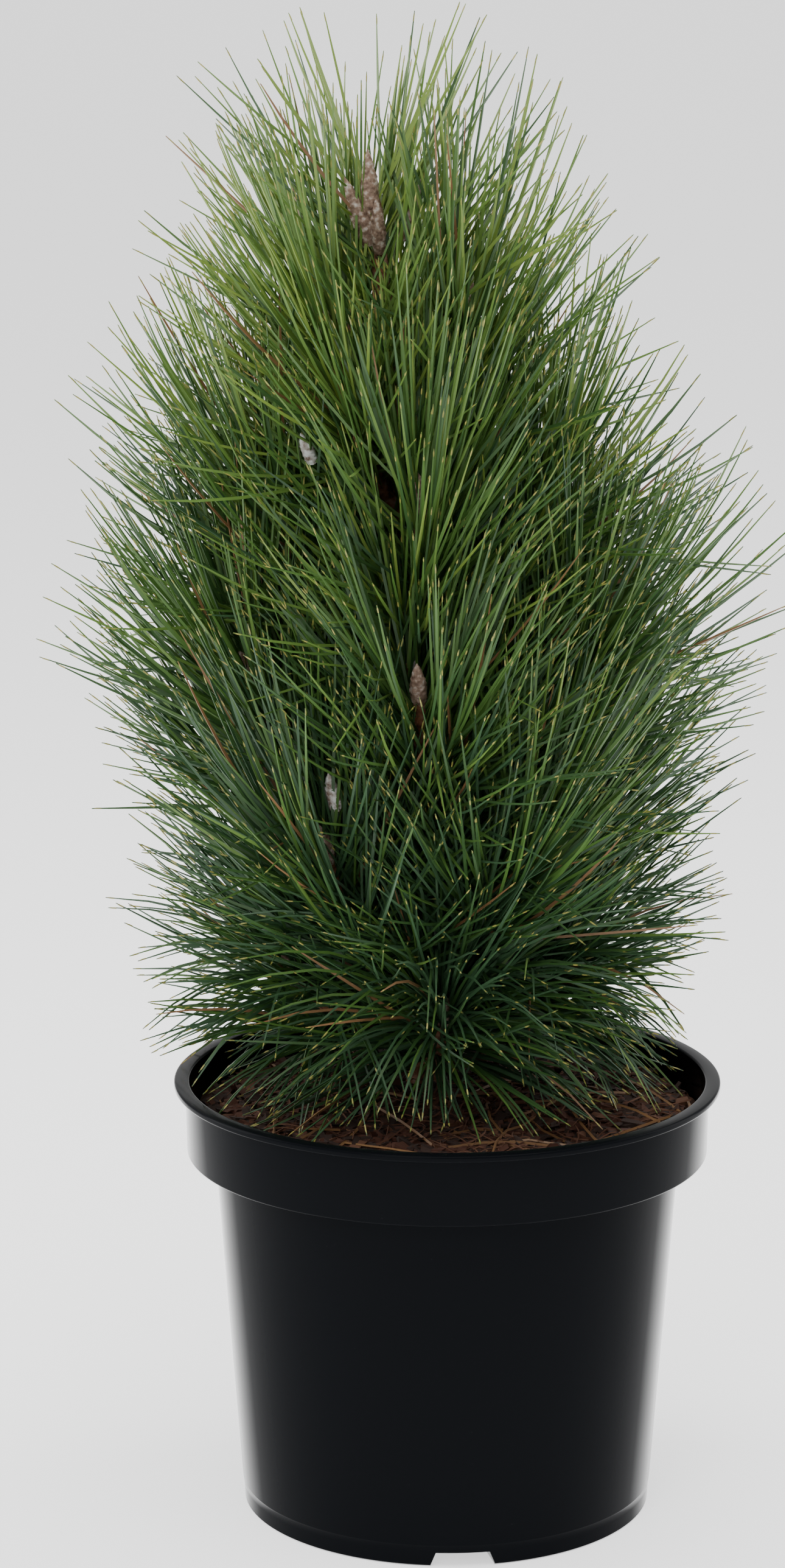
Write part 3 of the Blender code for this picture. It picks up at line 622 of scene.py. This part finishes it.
def scales(rows, sides, up, round_count):
    """tanh of a blend of random values at the four knots round a point, from -1 to 1. The net has
    up cells along the limb and round_count cells round it, where it closes on itself."""
    values = random.uniform(-1, 1, (up + 2, round_count))
    v = np.linspace(0, up, rows)
    u = np.arange(sides) * round_count / sides
    row, column = v.astype(int), u.astype(int)
    part_up, part_round = (v - row)[:, None], u - column
    next_column = (column + 1) % round_count
    low = values[row][:, column] * (1 - part_round) + values[row][:, next_column] * part_round
    high = values[row + 1][:, column] * (1 - part_round) + values[row + 1][:, next_column] * part_round
    return np.tanh(EDGE_SHARPNESS * (low * (1 - part_up) + high * part_up))


def limb(line, radii, sides, up, round_count, relief):
    """One tube whose radius is multiplied by 1 + relief * scales."""
    skin = radii[:, None] * (1 + relief * scales(len(line), sides, up, round_count))
    return tubes(line[None], skin[None], sides)


def resampled(line, count):
    """Evenly spaced points on a line of points."""
    run = np.concatenate([[0], np.cumsum(np.linalg.norm(np.diff(line, axis=0), axis=1))])
    places = np.linspace(0, run[-1], count)
    return np.stack([np.interp(places, run, line[:, axis]) for axis in range(3)], axis=1)


print("bark helpers ready")

# %% [markdown]
# The trunk tapers from 12 mm to 6 mm across and flares at its foot, as roots begin there. It runs on
# inside the leader up to the buds. A skin over a skeleton would join the limbs smoothly, but then the
# bark's net wouldn't fit them. So each bough is a limb of its own from inside the trunk to its bud,
# and no gap shows where a solid bough ends and its stem begins.

# %% Trunk and boughs
TRUNK_ROWS, TRUNK_SIDES, BUD_OVERLAP = 220, 28, 0.02
TRUNK_RADII, ROWS_CROWD_LOW = (0.0062, 0.0036, 0.0030), 1.2
FLARE_RADIUS, FLARE_TALL = 0.0023, 0.009
BOUGH_ROWS, BOUGH_SIDES, BOUGH_RADII = 70, 12, (0.0034, 0.0026)
row_shares = np.linspace(0, 1, TRUNK_ROWS) ** ROWS_CROWD_LOW
heights = TRUNK_CUT + (LEADER_TIP - BUD_OVERLAP - TRUNK_CUT) * row_shares
trunk_radii = np.interp(heights, (TRUNK_CUT, TRUNK_TIP, LEADER_TIP), TRUNK_RADII)
trunk_radii = trunk_radii + FLARE_RADIUS * np.exp(-(heights - TRUNK_CUT) / FLARE_TALL)
trunk = limb(trunk_axis(heights), trunk_radii, TRUNK_SIDES, up=80, round_count=9, relief=0.13)
piece("trunk_bark", *trunk, bark, "bark", ["trunk"])
bough_radii = np.linspace(*BOUGH_RADII, BOUGH_ROWS)
boughs = [limb(resampled(line, BOUGH_ROWS), bough_radii, BOUGH_SIDES, up=26, round_count=5, relief=0.12)
          for _, line in arms]
bough_nodes = [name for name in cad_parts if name.startswith("bough_")]
piece("boughs_bark", *joined(boughs), bark, "bark", bough_nodes)

# %% [markdown]
# Needles have to keep to the room that the real crown fills: inside its outline, above the mix, and
# over the rim or just past it. Cutting them off at a hull would leave blunt ends, so a formula says
# which points are free before any needle is made. The outline is a half width at each height, up to
# 10 mm wider than the one that shaped the solids, and 6 mm narrower at one height near the top.

# %% Outline and ground
CROWN_HEIGHTS = (0.178, 0.215, 0.290, 0.350, 0.405, 0.450, 0.520, 0.575, 0.605, 0.633)
CROWN_RADII = (0.114, 0.128, 0.142, 0.160, 0.176, 0.164, 0.122, 0.106, 0.098, 0.066)
low_corner, high_corner = np.array(cad_box[0]), np.array(cad_box[1])
BOX_PROUD = np.array((0.013, 0.012, 0.0008))
OVER_MIX, OVER_RIM, BELOW_RIM = 0.0022, 0.0008, 0.016
INSIDE_WALL, OUTSIDE_RIM = 0.005, 0.003


def above_ground(x, y, z):
    """True above the mix inside the pot, above the rim, and down to a little below it outside."""
    from_axis = np.hypot(x, y)
    ground = np.where(from_axis < COLLAR_RADIUS - INSIDE_WALL,
                      soil_height(x, y) + OVER_MIX, RIM_HEIGHT + OVER_RIM)
    return z > np.where(from_axis > RIM_RADIUS + OUTSIDE_RIM, RIM_HEIGHT - BELOW_RIM, ground)


print("crown's greatest half width:", max(CROWN_RADII))

# %% [markdown]
# Buds and a little bark show through the needles. Moving needles aside by hand would take hours, so a
# few narrow openings are kept free instead: round rods of room that run from each such place towards
# the camera. Then one test puts outline, ground and openings together.

# %% Openings before buds and bark
# The place of what shows, and the radius of the opening in front of it
OPENINGS = (
    ((-0.033, 0.0, 0.566), 0.013), ((-0.034, 0.0, 0.548), 0.012), ((-0.049, -0.052, 0.319), 0.007),
    ((-0.014, -0.046, 0.364), 0.007), ((-0.025, 0.0, 0.434), 0.0045),
    ((-0.040, -0.050, 0.283), 0.006), ((-0.060, -0.030, 0.456), 0.006))
OPENING_START = 0.004


def off_openings(points):
    """True at least a radius away from each opening's line: |q - (q . d) d| with q from its place."""
    free = np.ones(points.shape[:-1], dtype=bool)
    for place, radius in OPENINGS:
        way = unit(np.array(CAMERA_PLACE) - place)
        from_place = points - place
        ahead = from_place @ way
        beside = np.linalg.norm(from_place - ahead[..., None] * way, axis=-1)
        free &= (ahead < OPENING_START) | (beside > radius)
    return free


def inside(lines, reach):
    """True for each line of points that keeps to the room all along, with its share of the outline."""
    x, y, z = lines[..., 0], lines[..., 1], lines[..., 2]
    away = np.linalg.norm(lines[..., :2] - trunk_axis(z)[..., :2], axis=-1)
    free = away < reach[:, None] * np.interp(z, CROWN_HEIGHTS, CROWN_RADII)
    free &= ((lines > low_corner - BOX_PROUD) & (lines < high_corner + BOX_PROUD)).all(axis=-1)
    return (free & above_ground(x, y, z) & off_openings(lines)).all(axis=1)


print("openings:", len(OPENINGS))

# %% [markdown]
# A needle or a side twig is a line that starts straight and bends as it goes. It could be a curve
# with handles, but a formula takes a whole spray at once. Tests use more points on each line than
# the mesh does, so that less slips past them between two points.

# %% Bent lines
STEPS, FINE_STEPS = 6, 20


def bent(roots, aims, long, bend, steps=STEPS):
    """root + long * (s * aim + s^2 * (turned aim - aim)), where the turned aim tips up by bend."""
    s = np.linspace(0, 1, steps)[None, :, None]
    turned_aim = unit(aims + bend[:, None] * UP)
    return roots[:, None] + long[:, None, None] * (s * aims[:, None] + s**2 * (turned_aim - aims)[:, None])


def along_line(line, share):
    """Values of a line of points, or of its ways, at shares of its length in points."""
    places = np.linspace(0, 1, len(line))
    return np.stack([np.interp(share, places, line[:, axis]) for axis in range(3)], axis=1)


print("points on a needle:", STEPS, "and in its tests:", FINE_STEPS)

# %% [markdown]
# A particle system could scatter hairs, but it knows nothing of room. Here a needle that would leave
# the crown first swings in towards its shoot, then gets shorter, and is left out if it still doesn't
# fit. This pine carries its needles in pairs, so each that fits gets a twin that opens from it.

# %% Fitting needles and adding twins
# Shares of a needle's length and lean, tried in turn
TRIES = ((1, 1), (1, 0.82), (1, 0.64), (1, 0.46), (1, 0.3), (0.8, 0.9), (0.8, 0.5), (0.62, 0.8))
PAIR_OPEN, PAIR_OPEN_VARY, TWIN_LONG, TWIN_BEND = 0.11, (0.5, 1.6), (0.94, 1.0), 0.03


def fitted(roots, way, out, lean, long, bend, reach):
    """Tries aim = cos(lean) * way + sin(lean) * out with the lean and length of each try. Returns
    the aims, and which ones fit. Shortens long in place."""
    aims = np.zeros_like(roots)
    placed = np.zeros(len(roots), dtype=bool)
    for shorter, narrower in TRIES:
        angle = (lean * narrower)[:, None]
        aim = np.cos(angle) * way + np.sin(angle) * out
        fits = ~placed & inside(bent(roots, aim, long * shorter, bend, FINE_STEPS), reach)
        aims[fits] = aim[fits]
        long[fits] *= shorter
        placed |= fits
    return aims, placed


def paired(roots, aims, long, bend):
    """Each needle with its twin: aim = unit(aim + opening * apart), with apart square to the first.
    A twin without room is left out."""
    count = len(roots)
    apart = unit(np.cross(aims, random.normal(size=(count, 3))))
    twin_aims = unit(aims + PAIR_OPEN * random.uniform(*PAIR_OPEN_VARY, count)[:, None] * apart)
    twin = (roots, twin_aims, long * random.uniform(*TWIN_LONG, count), bend + TWIN_BEND)
    fits = inside(bent(*twin, FINE_STEPS), np.ones(count))
    return np.concatenate([bent(roots, aims, long, bend), bent(*twin)[fits]])


print("tries for each pair:", len(TRIES))

# %% [markdown]
# A shoot's needles stand wide of it at the foot and close to it at the tip, each pair an even turn
# round from the one before. Hairs combed by hand would lose that order. Here a habit holds the
# numbers of a kind of shoot, and one function grows all its pairs, each a little off the rule.

# %% Growing a shoot's needles
NEEDLE_LONG, LONG_VARY = 0.100, 0.15
NEEDLE_BEND, BEND_VARY = 0.16, 1.1
EVEN_TURN, TURN_VARY, LEAN_VARY = math.radians(137.5), 0.25, 7
REACH_VARY, REACH_POWER = 0.42, 1.3
ROOT_SUNK = 0.7
OFF_UPRIGHT = UP + 0.137
Habit = namedtuple("Habit", "pairs first last wide narrow bend long wood unruly", defaults=(1.0,))


def grow(line, habit):
    """Pairs along a line, from the first to the last share of it, leaning from wide to narrow
    degrees, at out = cos(turn) * side + sin(turn) * other. Returns all needles, (n, steps, 3)."""
    pairs = habit.pairs
    part = (np.arange(pairs) + random.uniform(0, 1, pairs)) / pairs
    share = habit.first + (habit.last - habit.first) * part
    way = unit(along_line(unit(np.gradient(line, axis=0)), share))
    side = unit(np.cross(way, OFF_UPRIGHT))
    turn = EVEN_TURN * np.arange(pairs) + random.normal(0, TURN_VARY, pairs)
    out = np.cos(turn)[:, None] * side + np.sin(turn)[:, None] * np.cross(way, side)
    long = NEEDLE_LONG * habit.long * (1 + random.uniform(-LONG_VARY, LONG_VARY, pairs))
    bend = NEEDLE_BEND * (habit.bend + habit.unruly * random.uniform(-BEND_VARY, BEND_VARY, pairs))
    reach = 1 - REACH_VARY * random.uniform(0, 1, pairs) ** REACH_POWER
    lean = habit.wide + (habit.narrow - habit.wide) * part
    lean = np.radians(lean + random.normal(0, LEAN_VARY * habit.unruly, pairs))
    roots = along_line(line, share) + habit.wood * ROOT_SUNK * out
    aims, placed = fitted(roots, way, out, lean, long, bend, reach)
    return paired(roots[placed], aims[placed], long[placed], bend[placed])


print("even turn in degrees:", round(math.degrees(EVEN_TURN), 1))

# %% [markdown]
# Every arm carries needles and three side twigs with their own. The lowest arms also have a skirt of
# wide drooping needles that hangs over the mix and the rim. The leader and the trunk between the
# whorls are clothed as well, or the crown would be hollow. One dense ball of needles would be less
# work, but it would show no gaps and no direction.

# %% Shoots of the whole plant
TWIG_ROOTS, TWIG_LONG, TWIG_FORK, TWIG_BEND = (8, 13, 18), 0.034, 0.7, 0.45
ARM_WOOD, TWIG_WOOD, LEADER_WOOD, TRUNK_WOOD = 0.0026, 0.0013, 0.0032, 0.0045
LEADER_HEIGHTS, BETWEEN_HEIGHTS = np.linspace(0.40, LEADER_TIP, 30), np.linspace(0.225, 0.45, 30)
SKIRT = Habit(pairs=110, first=0.12, last=1.0, wide=100, narrow=60, bend=-2.6, long=1.0,
              wood=ARM_WOOD, unruly=2.4)
LEADER = Habit(pairs=125, first=0.0, last=0.90, wide=60, narrow=42, bend=0.3, long=1.08,
               wood=LEADER_WOOD)
BETWEEN = Habit(pairs=300, first=0.0, last=1.0, wide=60, narrow=45, bend=0.6, long=1.05,
                wood=TRUNK_WOOD)


def side_twig(line, at):
    """A short twig from a line's point: aim = cos(fork) * way + sin(fork) * side, to any side."""
    way = unit(line[at + 1] - line[at])
    side = unit(np.cross(way, random.normal(size=3)))
    aim = unit(math.cos(TWIG_FORK) * way + math.sin(TWIG_FORK) * side)
    return bent(line[at][None], aim[None], np.array([TWIG_LONG]), np.array([TWIG_BEND]))[0]


sprays, twigs = [], []
for tier, line in arms:
    if tier.name == "low":
        sprays.append(grow(line, SKIRT))
    arm_habit = Habit(pairs=tier.pairs, first=0.26, last=1.0, wide=tier.wide, narrow=20, bend=tier.bend,
                      long=tier.long, wood=ARM_WOOD, unruly=tier.unruly)
    twig_habit = arm_habit._replace(pairs=tier.few, first=0.15, wide=56, narrow=16, wood=TWIG_WOOD)
    sprays.append(grow(line, arm_habit))
    for at in TWIG_ROOTS:
        twigs.append(side_twig(line, at))
        sprays.append(grow(twigs[-1], twig_habit))
sprays.append(grow(trunk_axis(LEADER_HEIGHTS), LEADER))
sprays.append(grow(trunk_axis(BETWEEN_HEIGHTS), BETWEEN))
print("needles:", sum(len(spray) for spray in sprays))

# %% [markdown]
# A needle is a three-sided tube that swells a little and tapers to a thin end. Its green could come
# from a picture or an attribute. Here each handful on a shoot takes one colour, chosen by its height
# and a little chance, and each colour is one piece with one plain finish. Higher handfuls take the
# lighter greens: partly the needles' own fresh growth, and partly painted sunlight on the top of the
# crown and painted shade low down. A few needles are dead.

# %% Needles
NEEDLE_RADIUS, RADIUS_VARY = 0.00072, (0.88, 1.12)
TAPER = np.array((0.75, 1.0, 1.0, 0.95, 0.75, 0.30))
HANDFUL, SHADE_VARY, DEAD_SHARE = 9, 0.30, 0.012
SHADE_FOOT, SHADE_SPAN = 0.20, 0.36
SHADE_EDGES = (-1.02, -0.72, -0.38, -0.05)
lines = np.concatenate(sprays)
count = len(lines)
handful = np.arange(count) // HANDFUL
chance = random.normal(0, SHADE_VARY, handful.max() + 1)[handful]
# The higher a handful, the lighter its green: painted sunlight on the top of the crown and painted shade
# low down, on top of the needles' own fresh and older growth.
shade = (lines[:, 0, 2] - SHADE_FOOT) / SHADE_SPAN + chance
dead = random.uniform(0, 1, count) < DEAD_SHARE
choice = np.where(dead, len(SHADE_EDGES) + 1, np.digitize(-shade, SHADE_EDGES))
radii = NEEDLE_RADIUS * random.uniform(*RADIUS_VARY, (count, 1)) * TAPER
mass_nodes = [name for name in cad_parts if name.startswith("needles_")]
for k, (name, look) in enumerate(needle_looks.items()):
    picked = choice == k
    stands_for = mass_nodes if name == "needles_mid" else ()
    piece(name, *tubes(lines[picked], radii[picked], 3), look, "needles", stands_for)

# %% [markdown]
# The ends of the needles are yellow. A second colour on the same mesh would need a picture or an
# attribute, so each tip is a short tube of its own that starts inside the last stretch of the needle
# and runs a hair past its end.

# %% Yellow tips
TIP_SHARES = np.array((0.80, 0.90, 1.015))[None, :, None]
TIP_TAPER = np.array((0.42, 0.46, 0.10))
before, end = lines[:, -2][:, None], lines[:, -1][:, None]
tip_lines = before * (1 - TIP_SHARES) + end * TIP_SHARES
tip_radii = NEEDLE_RADIUS * TIP_TAPER * np.ones((count, 1))
piece("needle_tips", *tubes(tip_lines, tip_radii, 3), tip_yellow, "needles")

# %% [markdown]
# Side twigs show only as glimpses of bark. They could have the relief of the boughs, but nobody would
# see it, so plain tapered tubes are enough. A few dead needles have dropped on the mix, and lie on it
# by the rule of the fibres.

# %% Twigs and dropped needles
TWIG_RADII, TWIG_SIDES = np.linspace(0.0016, 0.0010, STEPS), 6
DROPPED, DROPPED_LONG, DROPPED_BOW, DROPPED_RADIUS = 46, (0.045, 0.095), 0.10, 0.0006
twigs = np.array(twigs)
piece("twigs", *tubes(twigs, TWIG_RADII * np.ones((len(twigs), 1)), TWIG_SIDES), bark, "bark")
dropped = lying(DROPPED, DROPPED_LONG, DROPPED_BOW)
dropped_radii = DROPPED_RADIUS * np.ones((DROPPED, LYING_STEPS))
piece("dropped_needles", *tubes(dropped, dropped_radii, 3), needle_looks["needles_dead"], "needles")

# %% [markdown]
# The shoots end in buds: pointed, with scales that overlap in a spiral. Single scales would be
# hundreds of tiny leaves. Instead bands that climb round the bud raise its surface and break off
# sharply, as the edges of the scales do.

# %% Shape of a bud
BUD_ROWS, BUD_SIDES = 40, 20
SWELL_AT, SWELL = (0, 0.12, 0.35, 0.62, 0.85, 1), (0.72, 0.9, 1.0, 0.85, 0.48, 0.05)
SCALE_ROWS, SCALE_CLIMB, SCALE_COLUMNS, SCALE_TWIST = 9, 3, 5, 2
SCALE_BASE, SCALE_RISE = 0.92, 0.20


def bud(tip, way, long, radius):
    """radius * swell(s) * (base + rise * (1 - saw) * ridge), where saw and ridge climb round the
    bud: saw falls back at each scale's edge and ridge is 0.5 + 0.5 cos across each scale."""
    s = np.linspace(0, 1, BUD_ROWS)[:, None]
    turn = np.arange(BUD_SIDES) / BUD_SIDES
    saw = (SCALE_ROWS * s + SCALE_CLIMB * turn) % 1
    ridge = 0.5 + 0.5 * np.cos(math.tau * (SCALE_COLUMNS * turn + SCALE_TWIST * s))
    skin = radius * np.interp(s, SWELL_AT, SWELL) * (SCALE_BASE + SCALE_RISE * (1 - saw) * ridge)
    line = tip - way * long * (1 - s)
    return tubes(line[None], skin[None], BUD_SIDES)


print("points of a bud:", BUD_ROWS * BUD_SIDES)

# %% [markdown]
# The leader ends in a large bud with three lesser ones round it, and each arm in a small one. Four
# more that show between the needles are whitened by dried resin. One bud could be modelled and
# copied, but the formula gives each its own length and width, and all of them make one mesh.

# %% Buds
LEADER_BUD_WAY, LEADER_BUD_LONG, LEADER_BUD_RADIUS = np.array((-0.04, -0.03, 1)), 0.034, 0.0042
ARM_BUD_LONG, ARM_BUD_RADIUS, ARM_BUD_OUT = 0.019, 0.0036, 0.010
# Azimuth in degrees, distance from the leader's line, height, length, radius
SIDE_BUDS = ((195, 0.011, 0.562, 0.030, 0.0036), (5, 0.020, 0.561, 0.026, 0.0036),
             (280, 0.008, 0.554, 0.024, 0.0032))
# Tip, way, length, radius
RESIN_BUDS = (
    (trunk_axis(0.440) + 0.007 * level_way(math.radians(200)), (-0.1, -0.5, 1), 0.016, 0.0030),
    (np.array((-0.060, -0.030, 0.462)), (-0.4, -0.3, 1), 0.014, 0.0028),
    (np.array((-0.049, -0.052, 0.327)), (-0.2, -0.3, 1), 0.017, 0.0034),
    (np.array((-0.014, -0.046, 0.372)), (0.0, -0.3, 1), 0.018, 0.0032))
buds = [bud(trunk_axis(LEADER_TIP), unit(LEADER_BUD_WAY), LEADER_BUD_LONG, LEADER_BUD_RADIUS)]
for azimuth, away, height, long, radius in SIDE_BUDS:
    tip = trunk_axis(height) + away * level_way(math.radians(azimuth))
    buds.append(bud(tip, unit(tip - trunk_axis(height - long - away)), long, radius))
for tier, line in arms:
    way = unit(line[-1] - line[-3])
    buds.append(bud(line[-1] + ARM_BUD_OUT * way, way, ARM_BUD_LONG, ARM_BUD_RADIUS))
piece("buds", *joined(buds), bud_skin, "bark")
white = [bud(tip, unit(np.array(way)), long, radius) for tip, way, long, radius in RESIN_BUDS]
piece("resin_buds", *joined(white), resin, "bark")

# %% [markdown]
# The pot stands on a wide pale floor. A plain white one would turn grey away from the lights, so this
# one glows a little of its own, which keeps it nearly white and still takes the pot's shadow.

# %% Floor
FLOOR_HALF = 30
FLOOR_WHITE, FLOOR_GLOW = (0.90, 0.90, 0.90), 1.0
floor_look = finish("floor", FLOOR_WHITE, 0.9, Specular_IOR_Level=0.0,
                    Emission_Color=(1.0, 1.0, 1.0, 1.0), Emission_Strength=FLOOR_GLOW)[0]
floor_mesh = bpy.data.meshes.new("floor")
floor_corners = [(x * FLOOR_HALF, y * FLOOR_HALF, 0) for x, y in ((-1, -1), (1, -1), (1, 1), (-1, 1))]
floor_mesh.from_pydata(floor_corners, [], [(0, 1, 2, 3)])
floor_mesh.materials.append(floor_look)
floor = bpy.data.objects.new("floor", floor_mesh)
bpy.context.scene.collection.objects.link(floor)
print("floor's half width:", FLOOR_HALF)

# %% [markdown]
# Light from the surroundings alone would be flat, and small lamps would make hard dots on the
# plastic. Soft panels are chosen instead. Two tall ones at the sides draw the bright edges of the
# pot, a large one overhead lights the crown, and a weak one in front opens the shadows.

# %% Light panels
MIDDLE = np.array((0.0, 0.0, 0.35))
NEARLY_UP = UP + (0, 1e-3, 0)
# Name, place, width, height, power
PANELS = (
    ("left_panel", (-1.6, 0.25, 0.75), 0.9, 1.7, 26), ("right_panel", (1.6, 0.45, 0.75), 0.9, 1.7, 17),
    ("top_panel", (0.1, -0.5, 2.3), 1.8, 1.8, 42), ("front_panel", (-0.9, -2.3, 1.6), 1.2, 1.2, 24))


def panel(name, place, wide, tall, power):
    """A soft rectangular light that faces the plant's middle and isn't seen itself. Its back points
    along way = unit(place - middle), and its side is square to that way and nearly level."""
    light = bpy.data.lights.new(name, "AREA")
    light.shape = "RECTANGLE"
    light.size, light.size_y, light.energy = wide, tall, power
    made = bpy.data.objects.new(name, light)
    way = unit(np.array(place) - MIDDLE)
    side = unit(np.cross(NEARLY_UP, way))
    # The four columns: its side, its upright, its back and its place
    made.matrix_world = [(*side, 0), (*np.cross(way, side), 0), (*way, 0), (*place, 1)]
    made.visible_camera = False
    bpy.context.scene.collection.objects.link(made)


for values in PANELS:
    panel(*values)
print("panels:", len(PANELS))

# %% [markdown]
# The surroundings are white behind the plant and dark on the viewer's side, as in a studio. A picture
# of a studio could do it, but a ramp over the depth of each direction is enough, and gives the black
# plastic something dark to mirror on its front.

# %% Surroundings
DARK_SIDE, BRIGHT_SIDE = (0.16, 0.16, 0.17), (1.0, 1.0, 1.0)
world = bpy.data.worlds.new("studio")
world.use_nodes = True
sky = coordinates(world.node_tree, "Generated")
depth = sky.node("ShaderNodeSeparateXYZ", {}, {0: sky}, output=1)
feed(world.node_tree.nodes["Background"], "Color",
     (0.5 + 0.5 * depth).ramp((0.18, DARK_SIDE), (0.62, BRIGHT_SIDE)))
world.node_tree.nodes["Background"].inputs["Strength"].default_value = 1.0
bpy.context.scene.world = world
print("surroundings made")

# %% [markdown]
